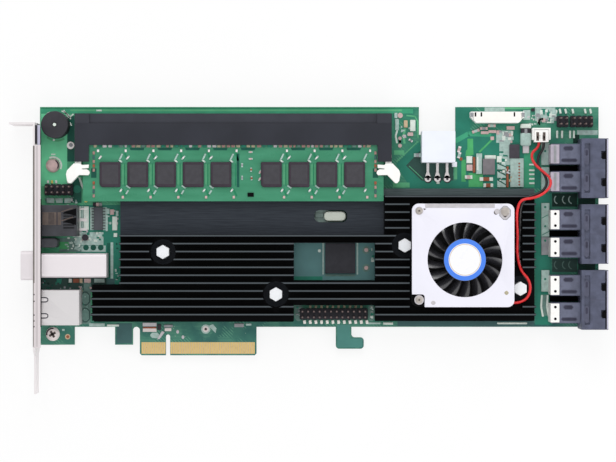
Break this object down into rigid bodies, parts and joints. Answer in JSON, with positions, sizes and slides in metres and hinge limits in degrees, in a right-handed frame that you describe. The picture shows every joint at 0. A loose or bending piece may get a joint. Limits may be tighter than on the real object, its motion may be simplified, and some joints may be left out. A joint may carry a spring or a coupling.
{
  "type": "raid controller card",
  "caption": "Full-height expansion card with a memory module, a finned heatsink with a fan, a bracket and cable ports, for driving storage disks.",
  "frame": {"origin": "middle of the key notch, on the line of the edge contacts' tips, at the solder side of the board", "axes": "+X along the board from the bracket to the drive ports, +Y from the edge contacts to the top edge, +Z out of the component side"},
  "size_m": [0.2642, 0.1276, 0.0191],
  "materials": {
    "board_green": "glossy solder mask over glass fibre",
    "gold": "gold plate",
    "bracket_steel": "nickel-plated sheet steel",
    "screw_steel": "plated steel",
    "black_plastic": "matt moulded plastic",
    "latch_white": "white nylon",
    "module_green": "glossy solder mask",
    "chip_black": "moulded chip package",
    "heatsink_black": "black anodised",
    "nylon_white": "white nylon",
    "brass_metal": "plain brass",
    "thermal_grey": "soft thermal pad",
    "can_silver": "drawn metal can",
    "fan_black": "glossy black plastic",
    "fan_cover_white": "pale enamel",
    "label_paper": "printed film label",
    "lead_red": "smooth wire insulation",
    "lead_black": "smooth wire insulation",
    "connector_white": "white nylon",
    "port_grey": "blue-grey moulded plastic",
    "cage_steel": "nickel-plated sheet",
    "copper": "copper windings on a steel core",
    "steel_shaft": "ground steel"
  },
  "bodies": {
    "card": {"bracket": "bracket_steel", "bracket_screws": "screw_steel", "buzzer": "black_plastic", "circuit_board": "board_green", "crystal": "can_silver", "diode": "black_plastic", "drive_port_1": "port_grey", "drive_port_2": "port_grey", "drive_port_3": "port_grey", "drive_port_clips": "screw_steel", "drive_port_tongues": "black_plastic", "edge_contacts": "gold", "expander_chip": "chip_black", "expander_thermal_pad": "thermal_grey", "external_port_cage": "cage_steel", "external_port_insert": "black_plastic", "fan_base": "fan_black", "fan_bearing": "brass_metal", "fan_cover": "fan_cover_white", "fan_header": "connector_white", "fan_lead_black": "lead_black", "fan_lead_red": "lead_red", "fan_plug": "connector_white", "fan_screws": "screw_steel", "fan_stator": "copper", "header_pins": "gold", "heatsink": "heatsink_black", "heatsink_nuts": "brass_metal", "heatsink_screws": "nylon_white", "heatsink_spacers": "nylon_white", "leaded_chip": "chip_black", "led_housing": "black_plastic", "memory_board": "module_green", "memory_chip_1": "chip_black", "memory_chip_2": "chip_black", "memory_chip_3": "chip_black", "memory_chip_4": "chip_black", "memory_chip_5": "chip_black", "memory_chip_6": "chip_black", "memory_chip_7": "chip_black", "memory_chip_8": "chip_black", "memory_chip_9": "chip_black", "memory_socket": "black_plastic", "network_jack_insert": "black_plastic", "network_jack_shield": "cage_steel", "pin_headers": "black_plastic", "power_connector": "connector_white", "power_connector_leads": "screw_steel", "processor_chip": "chip_black", "processor_thermal_pad": "thermal_grey", "regulator_chips": "chip_black", "ribbon_connector": "connector_white", "serial_jack": "black_plastic", "socket_contacts": "gold", "window_chip": "chip_black"},
    "fan_wheel": {"fan_rotor": "fan_black", "fan_shaft": "steel_shaft", "fan_label": "label_paper"},
    "left_latch": {"latch_left": "latch_white"},
    "right_latch": {"latch_right": "latch_white"}
  },
  "joints": [
    {"name": "fan_spin", "type": "hinge", "parent": "card", "child": "fan_wheel", "pos_m": [0.1319, 0.04295, 0.00957], "axis": [0, 0, 1], "continuous": true},
    {"name": "left_latch_swing", "type": "hinge", "parent": "card", "child": "left_latch", "pos_m": [-0.03925, 0.08925, 0.0092], "axis": [0, 0, -1], "range_deg": [0, 30]},
    {"name": "right_latch_swing", "type": "hinge", "parent": "card", "child": "right_latch", "pos_m": [0.09825, 0.08925, 0.0092], "axis": [0, 0, 1], "range_deg": [0, 30]}
  ]
}
